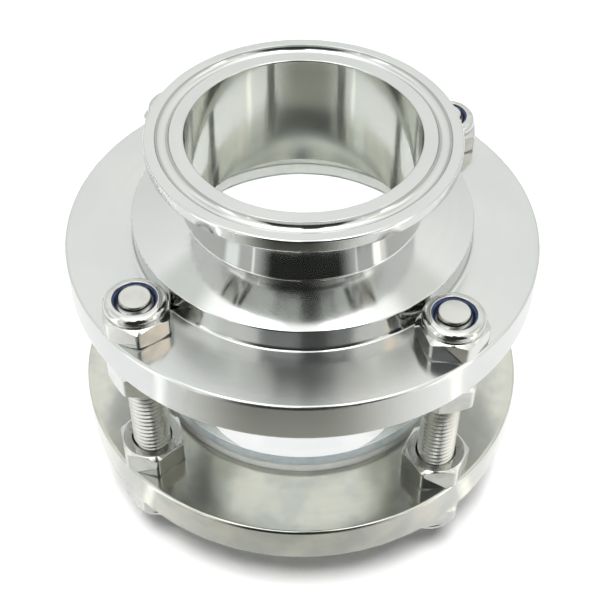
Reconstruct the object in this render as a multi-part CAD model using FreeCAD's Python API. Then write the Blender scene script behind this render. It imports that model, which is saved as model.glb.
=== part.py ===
import FreeCAD, Part
import math
import os

# Sanitary sight glass: a clear glass tube held between two flanged clamp ends by four tie rods.
# Millimetres. Z is the flow axis, and the lower clamp face lies on Z = 0.

# Neck: the end of a two-inch sanitary tube
NECK_DIAMETER = 50.8
NECK_WALL = 1.5
NECK_HEIGHT = 11.4
NECK_FILLET = 1.5
NECK_WELD_RADIUS = 0.6

# Ferrule: the rim that the sanitary clamp closes on, with the groove for the clamp's gasket
FERRULE_OVERHANG = 6.6
FERRULE_RIM_HEIGHT = 2.8
FERRULE_BACK_ANGLE = 20.0
FERRULE_EDGE_RADIUS = 0.5
FERRULE_MOUTH_RADIUS = 0.3
GROOVE_INSET = 3.75
GROOVE_WIDTH = 2.9
GROOVE_DEPTH = 1.3

# Glass tube, and the gasket that seats it in each flange
GLASS_DIAMETER = 68.4
GLASS_WALL = 4.0
GLASS_LENGTH = 28.1
GLASS_EDGE_CHAMFER = 0.4
GASKET_THICKNESS = 3.0
GASKET_OVERHANG = 0.1
GASKET_EDGE_RADIUS = 0.3
GASKET_SEAT_DEPTH = 1.0
GASKET_SEAT_CLEARANCE = 0.1

# Flange, with the boss and cone that carry the neck, and the flare from the bore out to the glass
FLANGE_THICKNESS = 9.5
FLANGE_EDGE_DISTANCE = 6.8
FLANGE_EDGE_RADIUS = 0.7
BOSS_OVERHANG = 1.8
BOSS_HEIGHT = 5.2
BOSS_EDGE_RADIUS = 0.35
BOSS_FILLET = 0.7
CONE_HEIGHT = 3.3
FLARE_DEPTH = 7.5

# Tie rods: studs threaded over their whole length, drawn at the outside of the thread
STUD_COUNT = 4
STUD_FIRST_ANGLE = 45.0
STUD_DIAMETER = 8.0
STUD_END_CHAMFER = 0.9
STUD_END_TAPER = 1.5
STUD_PROJECTION = 0.4
STUD_HOLE_CLEARANCE = 0.5
THREAD_CLEARANCE = 0.05

# Hexagon of every nut
NUT_WALL = 2.5
NUT_CORNER_ROUNDING = 0.2
NUT_FACE_STEP = 0.3
NUT_CHAMFER_ANGLE = 30.0
NUT_MOUTH_CHAMFER = 0.4
NUT_BOSS_GAP = 0.3
HEX_NUT_HEIGHT = 6.0

# Lock nut: a collar rolled over a nylon ring on top of the hexagon
LOCK_HEX_HEIGHT = 4.7
COLLAR_HEIGHT = 2.4
COLLAR_STEP = 0.2
COLLAR_NECK_STEP = 0.3
COLLAR_NECK_HEIGHT = 0.35
COLLAR_ROLL_RADIUS = 1.2
COLLAR_CROWN_DROP = 0.25
LIP_GAP = 0.45
LIP_THICKNESS = 0.45
LIP_EDGE_RADIUS = 0.15
NYLON_WIDTH = 1.05
NYLON_CLEARANCE = 0.05

# How far each nut was turned when it came up tight, from the line between its stud and the axis
UPPER_LOCK_NUT_TURNS = (45.0, 54.0, 55.0, 39.0)
UPPER_HEX_NUT_TURNS = (8.0, 33.0, 21.0, 2.0)
LOWER_HEX_NUT_TURNS = (26.0, 51.0, 2.0, 51.0)
LOWER_LOCK_NUT_TURNS = (40.0, 14.0, 29.0, 6.0)

# Radii worked out from the sizes above
NECK_RADIUS = NECK_DIAMETER / 2
BORE_RADIUS = NECK_RADIUS - NECK_WALL
FERRULE_RADIUS = NECK_RADIUS + FERRULE_OVERHANG
GLASS_RADIUS = GLASS_DIAMETER / 2
SIGHT_RADIUS = GLASS_RADIUS - GLASS_WALL
GASKET_RADIUS = GLASS_RADIUS + GASKET_OVERHANG
BOSS_RADIUS = GLASS_RADIUS + BOSS_OVERHANG
STUD_RADIUS = STUD_DIAMETER / 2
NUT_BORE_RADIUS = STUD_RADIUS + THREAD_CLEARANCE
NUT_FLAT_RADIUS = STUD_RADIUS + NUT_WALL
NUT_CORNER_RADIUS = NUT_FLAT_RADIUS / math.cos(math.radians(30)) - NUT_CORNER_ROUNDING
STUD_CIRCLE_RADIUS = BOSS_RADIUS + NUT_BOSS_GAP + NUT_CORNER_RADIUS
FLANGE_RADIUS = STUD_CIRCLE_RADIUS + FLANGE_EDGE_DISTANCE

# Heights above the inner face of one end
BOSS_TOP = FLANGE_THICKNESS + BOSS_HEIGHT
NECK_BASE = BOSS_TOP + CONE_HEIGHT
FERRULE_BACK = NECK_BASE + NECK_HEIGHT
RIM_BOTTOM = FERRULE_BACK + FERRULE_OVERHANG * math.tan(math.radians(FERRULE_BACK_ANGLE))
END_HEIGHT = RIM_BOTTOM + FERRULE_RIM_HEIGHT

# Heights in the assembly
GASKET_PROUD = GASKET_THICKNESS - GASKET_SEAT_DEPTH
LOWER_INNER_FACE = END_HEIGHT
LOWER_OUTER_FACE = LOWER_INNER_FACE - FLANGE_THICKNESS
UPPER_INNER_FACE = LOWER_INNER_FACE + GLASS_LENGTH + 2 * GASKET_PROUD
UPPER_OUTER_FACE = UPPER_INNER_FACE + FLANGE_THICKNESS
STUD_OVERHANG = LOCK_HEX_HEIGHT + COLLAR_HEIGHT + STUD_PROJECTION

ORIGIN = FreeCAD.Vector(0, 0, 0)
AXIS_Z = FreeCAD.Vector(0, 0, 1)


def rounded_corner(before, corner, after, radius):
    """Arc that rounds a corner of a section, with the points where it starts and ends."""
    back = (before - corner).normalize()
    ahead = (after - corner).normalize()
    half_angle = back.getAngle(ahead) / 2
    reach = radius / math.tan(half_angle)
    towards_centre = (back + ahead).normalize()
    middle = corner + towards_centre * (radius / math.sin(half_angle) - radius)
    start = corner + back * reach
    end = corner + ahead * reach
    return Part.Arc(start, middle, end).toShape(), start, end


def turned(corners):
    """Solid turned about Z from a closed section of (radius, height, rounding) corners."""
    points = [FreeCAD.Vector(radius, 0, height) for radius, height, _ in corners]
    count = len(points)
    leaves = list(points)
    arrives = list(points)
    edges = []
    for i, (_, _, rounding) in enumerate(corners):
        if rounding > 0:
            neighbours = points[i - 1], points[i], points[(i + 1) % count]
            arc, arrives[i], leaves[i] = rounded_corner(*neighbours, rounding)
            edges.append(arc)
    for i in range(count):
        edges.append(Part.LineSegment(leaves[i], arrives[(i + 1) % count]).toShape())
    section = Part.Face(Part.Wire(Part.__sortEdges__(edges)))
    return section.revolve(ORIGIN, AXIS_Z, 360)


def lifted(shape, height):
    """The shape moved up to a height."""
    return shape.translated(AXIS_Z * height)


def hung(shape, height):
    """The shape mirrored upside down, so that what stood on Z = 0 hangs from a height."""
    return lifted(shape.mirror(ORIGIN, AXIS_Z), height)


def stud_places():
    """Angle about the flow axis and centre of each stud."""
    places = []
    for i in range(STUD_COUNT):
        angle = STUD_FIRST_ANGLE + i * 360.0 / STUD_COUNT
        turn = math.radians(angle)
        centre = FreeCAD.Vector(math.cos(turn), math.sin(turn), 0) * STUD_CIRCLE_RADIUS
        places.append((angle, centre))
    return places


def end_body():
    """Ferrule, neck, cone, boss and flange turned as one piece, with the bore and its flare."""
    return turned([
        (BORE_RADIUS, FLARE_DEPTH, 0),
        (BORE_RADIUS, END_HEIGHT, FERRULE_MOUTH_RADIUS),
        (FERRULE_RADIUS, END_HEIGHT, FERRULE_EDGE_RADIUS),
        (FERRULE_RADIUS, RIM_BOTTOM, FERRULE_EDGE_RADIUS),
        (NECK_RADIUS, FERRULE_BACK, NECK_FILLET),
        (NECK_RADIUS, NECK_BASE, NECK_WELD_RADIUS),
        (BOSS_RADIUS, BOSS_TOP, BOSS_EDGE_RADIUS),
        (BOSS_RADIUS, FLANGE_THICKNESS, BOSS_FILLET),
        (FLANGE_RADIUS, FLANGE_THICKNESS, FLANGE_EDGE_RADIUS),
        (FLANGE_RADIUS, 0, FLANGE_EDGE_RADIUS),
        (GASKET_RADIUS + GASKET_SEAT_CLEARANCE, 0, 0),
        (GASKET_RADIUS + GASKET_SEAT_CLEARANCE, GASKET_SEAT_DEPTH, 0),
        (SIGHT_RADIUS, GASKET_SEAT_DEPTH, 0),
    ])


def clamp_groove():
    """Ring that cuts the round groove into the clamp face."""
    half_width = GROOVE_WIDTH / 2
    radius = (half_width ** 2 + GROOVE_DEPTH ** 2) / (2 * GROOVE_DEPTH)
    centre = AXIS_Z * (END_HEIGHT - GROOVE_DEPTH + radius)
    return Part.makeTorus(FERRULE_RADIUS - GROOVE_INSET, radius, centre, AXIS_Z)


def clamp_end():
    """One end of the sight glass, with its inner face on Z = 0 and its clamp face up."""
    end = end_body().cut(clamp_groove())
    for _, centre in stud_places():
        end = end.cut(Part.makeCylinder(STUD_RADIUS + STUD_HOLE_CLEARANCE, FLANGE_THICKNESS, centre))
    return end


def gasket():
    """Flat ring that seats the glass, standing on Z = 0."""
    return turned([
        (SIGHT_RADIUS, 0, GASKET_EDGE_RADIUS),
        (GASKET_RADIUS, 0, GASKET_EDGE_RADIUS),
        (GASKET_RADIUS, GASKET_THICKNESS, GASKET_EDGE_RADIUS),
        (SIGHT_RADIUS, GASKET_THICKNESS, GASKET_EDGE_RADIUS),
    ])


def glass_tube():
    """Glass tube with ground ends and broken edges, standing on Z = 0."""
    chamfer = GLASS_EDGE_CHAMFER
    return turned([
        (SIGHT_RADIUS, chamfer, 0),
        (SIGHT_RADIUS + chamfer, 0, 0),
        (GLASS_RADIUS - chamfer, 0, 0),
        (GLASS_RADIUS, chamfer, 0),
        (GLASS_RADIUS, GLASS_LENGTH - chamfer, 0),
        (GLASS_RADIUS - chamfer, GLASS_LENGTH, 0),
        (SIGHT_RADIUS + chamfer, GLASS_LENGTH, 0),
        (SIGHT_RADIUS, GLASS_LENGTH - chamfer, 0),
    ])


def stud():
    """Tie rod with both ends tapered to a flat point."""
    bottom = LOWER_OUTER_FACE - STUD_OVERHANG
    top = UPPER_OUTER_FACE + STUD_OVERHANG
    point = STUD_RADIUS - STUD_END_CHAMFER
    return turned([
        (0, bottom, 0),
        (point, bottom, 0),
        (STUD_RADIUS, bottom + STUD_END_TAPER, 0),
        (STUD_RADIUS, top - STUD_END_TAPER, 0),
        (point, top, 0),
        (0, top, 0),
    ])


def hexagon_bar(height):
    """Hexagonal bar standing on Z = 0, with a corner towards +X."""
    corner = FreeCAD.Vector(NUT_FLAT_RADIUS / math.cos(math.radians(30)), 0, 0)
    rotation = FreeCAD.Rotation(AXIS_Z, 60)
    outline = [corner]
    for _ in range(6):
        outline.append(rotation.multVec(outline[-1]))
    outline[-1] = corner
    return Part.Face(Part.makePolygon(outline)).extrude(AXIS_Z * height)


def hexagon_blank(height):
    """Nut hexagon standing on Z = 0, its faces turned down to a round at the chamfer angle."""
    face = NUT_FLAT_RADIUS - NUT_FACE_STEP
    drop = (NUT_CORNER_RADIUS - face) * math.tan(math.radians(NUT_CHAMFER_ANGLE))
    envelope = turned([
        (0, 0, 0),
        (face, 0, 0),
        (NUT_CORNER_RADIUS, drop, 0),
        (NUT_CORNER_RADIUS, height - drop, 0),
        (face, height, 0),
        (0, height, 0),
    ])
    return hexagon_bar(height).common(envelope)


def thread_bore(height):
    """Cutter for the bore of a nut, with a countersunk mouth at Z = 0."""
    mouth = Part.makeCone(NUT_BORE_RADIUS + NUT_MOUTH_CHAMFER, NUT_BORE_RADIUS, NUT_MOUTH_CHAMFER)
    return Part.makeCylinder(NUT_BORE_RADIUS, height).fuse(mouth)


def hex_nut():
    """Plain hexagon nut standing on Z = 0."""
    bore = thread_bore(HEX_NUT_HEIGHT)
    return hexagon_blank(HEX_NUT_HEIGHT).cut(bore).cut(hung(bore, HEX_NUT_HEIGHT))


def collar():
    """Rolled collar with its inturned lip, standing on Z = 0."""
    shoulder = NUT_FLAT_RADIUS - COLLAR_STEP
    neck = shoulder - COLLAR_NECK_STEP
    pocket = STUD_RADIUS + NYLON_WIDTH + NYLON_CLEARANCE
    lip = STUD_RADIUS + LIP_GAP
    lip_bottom = COLLAR_HEIGHT - LIP_THICKNESS
    return turned([
        (pocket, 0, 0),
        (neck, 0, 0),
        (neck, COLLAR_NECK_HEIGHT, 0),
        (shoulder, COLLAR_NECK_HEIGHT + COLLAR_NECK_STEP, 0),
        (shoulder, COLLAR_HEIGHT - COLLAR_CROWN_DROP, COLLAR_ROLL_RADIUS),
        (lip, COLLAR_HEIGHT, LIP_EDGE_RADIUS),
        (lip, lip_bottom, 0),
        (pocket, lip_bottom, 0),
    ])


def lock_nut():
    """Lock nut standing on Z = 0, open inside its collar for the nylon ring."""
    base = hexagon_blank(LOCK_HEX_HEIGHT).cut(thread_bore(LOCK_HEX_HEIGHT))
    return base.fuse(lifted(collar(), LOCK_HEX_HEIGHT)).removeSplitter()


def nylon_ring():
    """Nylon ring of a lock nut, placed as in a lock nut that stands on Z = 0."""
    inside = NUT_BORE_RADIUS
    outside = STUD_RADIUS + NYLON_WIDTH
    bottom = LOCK_HEX_HEIGHT
    top = LOCK_HEX_HEIGHT + COLLAR_HEIGHT - LIP_THICKNESS - NYLON_CLEARANCE
    return turned([
        (inside, bottom, 0),
        (outside, bottom, 0),
        (outside, top, 0),
        (inside, top, 0),
    ])


def on_stud(shape, place, turn):
    """The shape moved onto a stud and turned about it."""
    angle, centre = place
    moved = shape.copy()
    moved.rotate(ORIGIN, AXIS_Z, angle + turn)
    return moved.translated(centre)


def turn_of(turns, i):
    """Turn of the nut on stud i; the turns repeat where there are more studs than turns."""
    return turns[i % len(turns)]


def fastener_nodes():
    """Studs, nuts and nylon rings by node name."""
    nodes = {}
    upper_lock = lifted(lock_nut(), UPPER_OUTER_FACE)
    upper_ring = lifted(nylon_ring(), UPPER_OUTER_FACE)
    upper_hex = hung(hex_nut(), UPPER_INNER_FACE)
    lower_hex = lifted(hex_nut(), LOWER_INNER_FACE)
    lower_lock = hung(lock_nut(), LOWER_OUTER_FACE)
    lower_ring = hung(nylon_ring(), LOWER_OUTER_FACE)
    rod = stud()
    for i, place in enumerate(stud_places()):
        number = i + 1
        nodes[f"stud_{number}"] = on_stud(rod, place, 0)
        nodes[f"upper_lock_nut_{number}"] = on_stud(upper_lock, place, turn_of(UPPER_LOCK_NUT_TURNS, i))
        nodes[f"upper_nylon_ring_{number}"] = on_stud(upper_ring, place, 0)
        nodes[f"upper_hex_nut_{number}"] = on_stud(upper_hex, place, turn_of(UPPER_HEX_NUT_TURNS, i))
        nodes[f"lower_hex_nut_{number}"] = on_stud(lower_hex, place, turn_of(LOWER_HEX_NUT_TURNS, i))
        nodes[f"lower_lock_nut_{number}"] = on_stud(lower_lock, place, turn_of(LOWER_LOCK_NUT_TURNS, i))
        nodes[f"lower_nylon_ring_{number}"] = on_stud(lower_ring, place, 0)
    return nodes


def main():
    """Build every piece and write one STEP file for each."""
    end = clamp_end()
    ring = gasket()
    nodes = {
        "top_flange": lifted(end, UPPER_INNER_FACE),
        "bottom_flange": hung(end, LOWER_INNER_FACE),
        "top_gasket": lifted(ring, UPPER_INNER_FACE - GASKET_PROUD),
        "bottom_gasket": lifted(ring, LOWER_INNER_FACE - GASKET_SEAT_DEPTH),
        "glass_tube": lifted(glass_tube(), LOWER_INNER_FACE + GASKET_PROUD),
    }
    nodes.update(fastener_nodes())
    os.makedirs("parts", exist_ok=True)
    for name, shape in nodes.items():
        shape.exportStep(f"parts/{name}.step")


main()
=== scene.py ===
"""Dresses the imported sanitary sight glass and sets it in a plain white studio."""

import logging
import math
from dataclasses import dataclass
from enum import Enum
from typing import Callable, Sequence

import bmesh
import bpy
from bpy.types import Material, Node, NodeSocket, NodeTree, Object
from mathutils import Matrix, Vector


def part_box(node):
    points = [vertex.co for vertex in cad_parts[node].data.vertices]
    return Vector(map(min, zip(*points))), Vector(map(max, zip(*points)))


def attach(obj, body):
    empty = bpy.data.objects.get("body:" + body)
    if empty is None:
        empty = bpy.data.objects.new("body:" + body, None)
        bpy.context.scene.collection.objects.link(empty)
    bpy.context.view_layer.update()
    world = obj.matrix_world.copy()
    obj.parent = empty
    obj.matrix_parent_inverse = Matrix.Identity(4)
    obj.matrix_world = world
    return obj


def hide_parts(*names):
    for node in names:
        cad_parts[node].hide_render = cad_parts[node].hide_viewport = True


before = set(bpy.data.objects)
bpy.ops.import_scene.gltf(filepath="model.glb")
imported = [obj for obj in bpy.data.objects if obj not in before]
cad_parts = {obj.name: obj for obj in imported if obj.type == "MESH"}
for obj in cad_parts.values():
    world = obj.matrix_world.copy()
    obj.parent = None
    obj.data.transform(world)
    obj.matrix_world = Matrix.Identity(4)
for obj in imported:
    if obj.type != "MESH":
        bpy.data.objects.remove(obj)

log = logging.getLogger("sight_glass")

MM = 0.001
ROOT = "root"
HEX_SIDES = 6

Corner = tuple[float, float, float]
Point = tuple[float, float]
Colour = tuple[float, float, float]
Faces = list[tuple[int, ...]]
Feeds = dict[str | int, object]


class End(Enum):
    """The two ends of the sight glass."""

    UPPER = "upper"
    LOWER = "lower"


class NutKind(Enum):
    """The two kinds of nut on each tie rod."""

    PLAIN = "plain"
    LOCK = "lock"


class Surface(Enum):
    """The two kinds of surface that a card or lamp panel can light."""

    SHINY = "shiny"
    DULL = "dull"


def rounded_profile(corners: Sequence[Corner], steps: int = 6) -> list[Point]:
    """Rounds the corners of a closed section.

    Args:
        corners: radius, height and rounding of each corner, in millimetres.
        steps: chords in each rounded corner.

    Returns:
        Points of the section in order, as radius and height in millimetres.
    """
    points: list[Point] = []
    count = len(corners)
    for i, (radius, height, rounding) in enumerate(corners):
        corner = Vector((radius, height))
        if rounding <= 0:
            points.append((radius, height))
            continue
        before = Vector(corners[i - 1][:2])
        after = Vector(corners[(i + 1) % count][:2])
        back = (before - corner).normalized()
        ahead = (after - corner).normalized()
        half = math.acos(max(-1.0, min(1.0, back.dot(ahead)))) / 2
        centre = corner + (back + ahead).normalized() * (rounding / math.sin(half))
        start = corner + back * (rounding / math.tan(half)) - centre
        end = corner + ahead * (rounding / math.tan(half)) - centre
        turn = start.angle_signed(end)
        for step in range(steps + 1):
            spoke = start.copy()
            spoke.rotate(Matrix.Rotation(-turn * step / steps, 2))
            points.append((centre.x + spoke.x, centre.y + spoke.y))
    return points


def ring_grid(sections: Sequence[Sequence[Point]], angles: Sequence[float]) -> tuple[list[Vector], Faces]:
    """Joins closed sections that stand round an axis into a surface.

    Args:
        sections: one section for each angle, all with as many points, in millimetres.
        angles: where each section stands round the Z axis, in radians.

    Returns:
        Vertices in metres, and faces that look outwards.
    """
    size = len(sections[0])
    count = len(sections)
    vertices = [
        Vector((r * math.cos(a), r * math.sin(a), z)) * MM
        for section, a in zip(sections, angles)
        for r, z in section
    ]
    faces = []
    for i in range(count):
        ahead = (i + 1) % count
        for j in range(size):
            above = (j + 1) % size
            faces.append((i * size + j, ahead * size + j, ahead * size + above, i * size + above))
    return vertices, faces


def full_turn(count: int) -> list[float]:
    """Even steps round a circle, as angles in radians."""
    return [2 * math.pi * i / count for i in range(count)]


def mesh_object(
    name: str,
    vertices: Sequence[Sequence[float]],
    faces: Sequence[Sequence[int]],
    material: Material | None = None,
) -> Object:
    """Makes an object with its own mesh and puts it in the scene.

    Args:
        name: name of the object and of its mesh.
        vertices: places in metres.
        faces: corners of each face.
        material: the finish, if it has one.

    Returns:
        The new object.
    """
    mesh = bpy.data.meshes.new(name)
    mesh.from_pydata([tuple(v) for v in vertices], [], [tuple(f) for f in faces])
    if material:
        mesh.materials.append(material)
    made = bpy.data.objects.new(name, mesh)
    bpy.context.scene.collection.objects.link(made)
    return made


@dataclass(frozen=True)
class Piece:
    """One visible piece and the node that it stands for.

    Its edges stay sharp where they bend by more degrees than the sharp angle.
    """

    name: str
    node: str
    slot: str
    sharp_angle: float = 40.0

    def place(self, vertices: Sequence[Vector], faces: Faces, material: Material) -> Object:
        """Makes the piece's object and puts it on the frame.

        Args:
            vertices: places in metres, in the frame.
            faces: corners of each face.
            material: the finish of the whole piece.

        Returns:
            The new object.
        """
        piece = mesh_object(self.name, vertices, faces, material)
        mesh = piece.data
        mesh.validate()
        mesh.shade_smooth()
        mesh.set_sharp_from_angle(angle=math.radians(self.sharp_angle))
        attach(piece, ROOT)
        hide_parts(self.node)
        log.info("%s stands for %s, %d faces", self.name, self.node, len(mesh.polygons))
        return piece


def even_normals(piece: Object, weight: int = 100) -> None:
    """Lets large flat faces keep their own normal beside narrow rounded edges.

    Args:
        piece: the piece.
        weight: how much more large faces count than small ones, up to 100.
    """
    modifier = piece.modifiers.new("even_normals", "WEIGHTED_NORMAL")
    modifier.keep_sharp = True
    modifier.weight = weight


class NodeKit:
    """Short ways to add and join the nodes of one shader tree."""

    def __init__(self, tree: NodeTree) -> None:
        """Takes hold of the tree."""
        self.tree = tree

    def feed(self, target: NodeSocket, source: object) -> None:
        """Joins a socket to its source, or sets the plain value that it is given.

        Args:
            target: the socket to feed.
            source: a socket, a number or a colour.
        """
        if isinstance(source, NodeSocket):
            self.tree.links.new(source, target)
        else:
            target.default_value = source

    def node(self, kind: str, feeds: Feeds | None = None, **settings: object) -> Node:
        """Adds a shader node.

        Args:
            kind: the node's type.
            feeds: what feeds its inputs, by name or number.
            settings: the node's own properties.

        Returns:
            The new node.
        """
        made = self.tree.nodes.new(kind)
        for key, value in settings.items():
            setattr(made, key, value)
        for key, value in (feeds or {}).items():
            self.feed(made.inputs[key], value)
        return made

    def math(self, operation: str, *values: object) -> NodeSocket:
        """Adds a math node.

        Args:
            operation: what it works out.
            values: sockets or numbers, in order.

        Returns:
            Its result.
        """
        return self.node("ShaderNodeMath", dict(enumerate(values)), operation=operation).outputs[0]

    def ranged(
        self,
        source: NodeSocket,
        low: object = 0.0,
        high: float = 1.0,
        start: float = 0.0,
        end: float = 1.0,
        easing: str = "LINEAR",
    ) -> NodeSocket:
        """Maps a value from one range to another.

        Args:
            source: the value.
            low: result at the start of the range, as a number or a socket.
            high: result at its end.
            start: value at which the range starts.
            end: value at which it ends.
            easing: how the result goes from low to high.

        Returns:
            The mapped value.
        """
        feeds = {"Value": source, "From Min": start, "From Max": end, "To Min": low, "To Max": high}
        return self.node("ShaderNodeMapRange", feeds, interpolation_type=easing).outputs["Result"]

    def blend(
        self, factor: NodeSocket, first: Colour | NodeSocket, second: Colour | NodeSocket
    ) -> NodeSocket:
        """Blends two colours.

        Args:
            factor: a mask, 0 for the first colour and 1 for the second.
            first: a colour or a socket that gives one.
            second: the other.

        Returns:
            The blended colour.
        """
        made = self.node("ShaderNodeMix", {"Factor": factor}, data_type="RGBA")
        for key, colour in (("A", first), ("B", second)):
            self.feed(made.inputs[key], colour if isinstance(colour, NodeSocket) else (*colour, 1.0))
        return made.outputs["Result"]

    def noise(self, spot: NodeSocket, scale: object, detail: float, roughness: float = 0.5) -> NodeSocket:
        """Adds soft noise.

        Args:
            spot: where on the surface.
            scale: how fine the pattern is, as a number or a socket.
            detail: how many finer layers it has.
            roughness: how strong those layers are.

        Returns:
            The noise, from 0 to 1.
        """
        feeds = {"Vector": spot, "Scale": scale, "Detail": detail, "Roughness": roughness}
        return self.node("ShaderNodeTexNoise", feeds).outputs["Fac"]

    def place(self, kind: str = "Object") -> NodeSocket:
        """Coordinates of the surface."""
        return self.node("ShaderNodeTexCoord").outputs[kind]

    def axes(self, spot: NodeSocket) -> Sequence[NodeSocket]:
        """Splits coordinates into X, Y and Z."""
        return self.node("ShaderNodeSeparateXYZ", {0: spot}).outputs

    def length(self, x: NodeSocket, y: NodeSocket) -> NodeSocket:
        """Distance from the Z axis."""
        return self.math("SQRT", self.math("ADD", self.math("MULTIPLY", x, x), self.math("MULTIPLY", y, y)))


class GroupKit(NodeKit):
    """A shader node group with named number sockets."""

    def __init__(self, name: str, takes: dict[str, float], gives: Sequence[str]) -> None:
        """Starts the group.

        Args:
            name: the group's name.
            takes: its inputs and their starting values.
            gives: its outputs.
        """
        super().__init__(bpy.data.node_groups.new(name, "ShaderNodeTree"))
        for key, value in takes.items():
            made = self.tree.interface.new_socket(name=key, in_out="INPUT", socket_type="NodeSocketFloat")
            made.default_value = value
        for key in gives:
            self.tree.interface.new_socket(name=key, in_out="OUTPUT", socket_type="NodeSocketFloat")
        self.taken = self.tree.nodes.new("NodeGroupInput").outputs
        self.given = self.tree.nodes.new("NodeGroupOutput").inputs


def turning_marks() -> NodeTree:
    """Fine rings that a lathe or a polishing belt leaves round the flow axis.

    Returns:
        A group with a height for bump and a tone that varies from ring to ring.
    """
    kit = GroupKit("turning_marks", {"Rings per mm": 6.0, "Streak Length": 0.6}, ("Height", "Tone"))
    x, y, z = kit.axes(kit.place())
    rings = kit.math("MULTIPLY", kit.taken["Rings per mm"], 1 / MM)
    feeds = {
        0: kit.math("MULTIPLY", kit.length(x, y), rings),
        1: kit.math("MULTIPLY", kit.math("ARCTAN2", y, x), kit.taken["Streak Length"]),
        2: kit.math("MULTIPLY", z, rings),
    }
    spot = kit.node("ShaderNodeCombineXYZ", feeds).outputs[0]
    kit.feed(kit.given["Height"], kit.noise(spot, scale=1.0, detail=3.0, roughness=0.6))
    kit.feed(kit.given["Tone"], kit.noise(spot, scale=0.12, detail=2.0))
    return kit.tree


def handling_haze() -> NodeTree:
    """Soft blotches of haze and tiny specks that handling leaves on bright metal.

    Returns:
        A group with a haze mask and a speck mask, both from 0 to 1.
    """
    kit = GroupKit("handling_haze", {"Blotches per mm": 0.06, "Specks per mm": 0.9}, ("Haze", "Specks"))
    place = kit.place()
    names = ("Blotches per mm", "Specks per mm")
    blotches, specks = (kit.math("MULTIPLY", kit.taken[name], 1 / MM) for name in names)
    blotch = kit.noise(place, blotches, detail=2.0)
    kit.feed(kit.given["Haze"], kit.ranged(blotch, start=0.30, end=0.75, easing="SMOOTHERSTEP"))
    cells = kit.node("ShaderNodeTexVoronoi", {"Vector": place, "Scale": specks}, feature="F1")
    kit.feed(kit.given["Specks"], kit.ranged(cells.outputs["Distance"], start=0.10, end=0.05))
    return kit.tree


def turned_zones() -> NodeTree:
    """Zones of a turned end by their distance from the flow axis.

    Returns:
        A group with a mask for the bore and one for the flange, both from 0 to 1.
    """
    kit = GroupKit("turned_zones", {"Bore Radius mm": 24.1, "Flange Radius mm": 36.4}, ("Bore", "Flange"))
    x, y, _ = kit.axes(kit.place())
    away = kit.math("MULTIPLY", kit.length(x, y), 1 / MM)
    kit.feed(kit.given["Bore"], kit.math("LESS_THAN", away, kit.taken["Bore Radius mm"]))
    kit.feed(kit.given["Flange"], kit.math("GREATER_THAN", away, kit.taken["Flange Radius mm"]))
    return kit.tree


@dataclass(frozen=True)
class Effects:
    """Shader node groups that several finishes use."""

    turning: NodeTree
    haze: NodeTree
    zones: NodeTree

    @classmethod
    def make(cls) -> "Effects":
        """Builds each group once."""
        return cls(turning=turning_marks(), haze=handling_haze(), zones=turned_zones())


class MaterialKit(NodeKit):
    """A material of the object, with a Principled shader."""

    def __init__(self, name: str, metallic: float, refraction: float = 1.5) -> None:
        """Starts the material.

        Args:
            name: the material's name.
            metallic: 1 for bare metal and 0 for all else.
            refraction: index of refraction.
        """
        self.material = bpy.data.materials.new(name)
        self.material.use_nodes = True
        super().__init__(self.material.node_tree)
        self.shader = self.tree.nodes["Principled BSDF"]
        self.set(Metallic=metallic, IOR=refraction)

    def set(self, **values: object) -> None:
        """Feeds the shader's inputs; underscores in a name stand for spaces."""
        for key, value in values.items():
            self.feed(self.shader.inputs[key.replace("_", " ")], value)

    def group(self, tree: NodeTree, **values: float) -> Sequence[NodeSocket]:
        """Places a node group.

        Args:
            tree: the group.
            values: its own values here; underscores in a name stand for spaces.

        Returns:
            The group's outputs.
        """
        feeds = {key.replace("_", " "): value for key, value in values.items()}
        return self.node("ShaderNodeGroup", feeds, node_tree=tree).outputs

    def brush_round(self, amount: float) -> None:
        """Stretches the gloss across fine marks that run round the Z axis.

        Args:
            amount: how strongly, from 0 to 1.
        """
        quarter_turn = 0.25
        marks = self.node("ShaderNodeTangent", direction_type="RADIAL", axis="Z")
        self.set(Anisotropic=amount, Anisotropic_Rotation=quarter_turn, Tangent=marks.outputs[0])

    def let_light_through(self, tint: Colour) -> None:
        """Lets the lamps shine through the shader's glass.

        Args:
            tint: colour that the glass gives their light.
        """
        shadow = self.node("ShaderNodeLightPath").outputs["Is Shadow Ray"]
        clear = self.node("ShaderNodeBsdfTransparent", {"Color": (*tint, 1.0)}).outputs[0]
        mix = self.node("ShaderNodeMixShader", {"Fac": shadow, 1: self.shader.outputs[0], 2: clear})
        self.feed(self.tree.nodes["Material Output"].inputs["Surface"], mix.outputs[0])

    def bump(self, height: NodeSocket, strength: float, depth_mm: float) -> None:
        """Raises the surface by a height, in its shading only.

        Args:
            height: the height, from 0 to 1.
            strength: how much of it shows.
            depth_mm: what a height of 1 stands for.
        """
        feeds = {"Height": height, "Strength": strength, "Distance": depth_mm * MM}
        self.set(Normal=self.node("ShaderNodeBump", feeds).outputs["Normal"])


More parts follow.
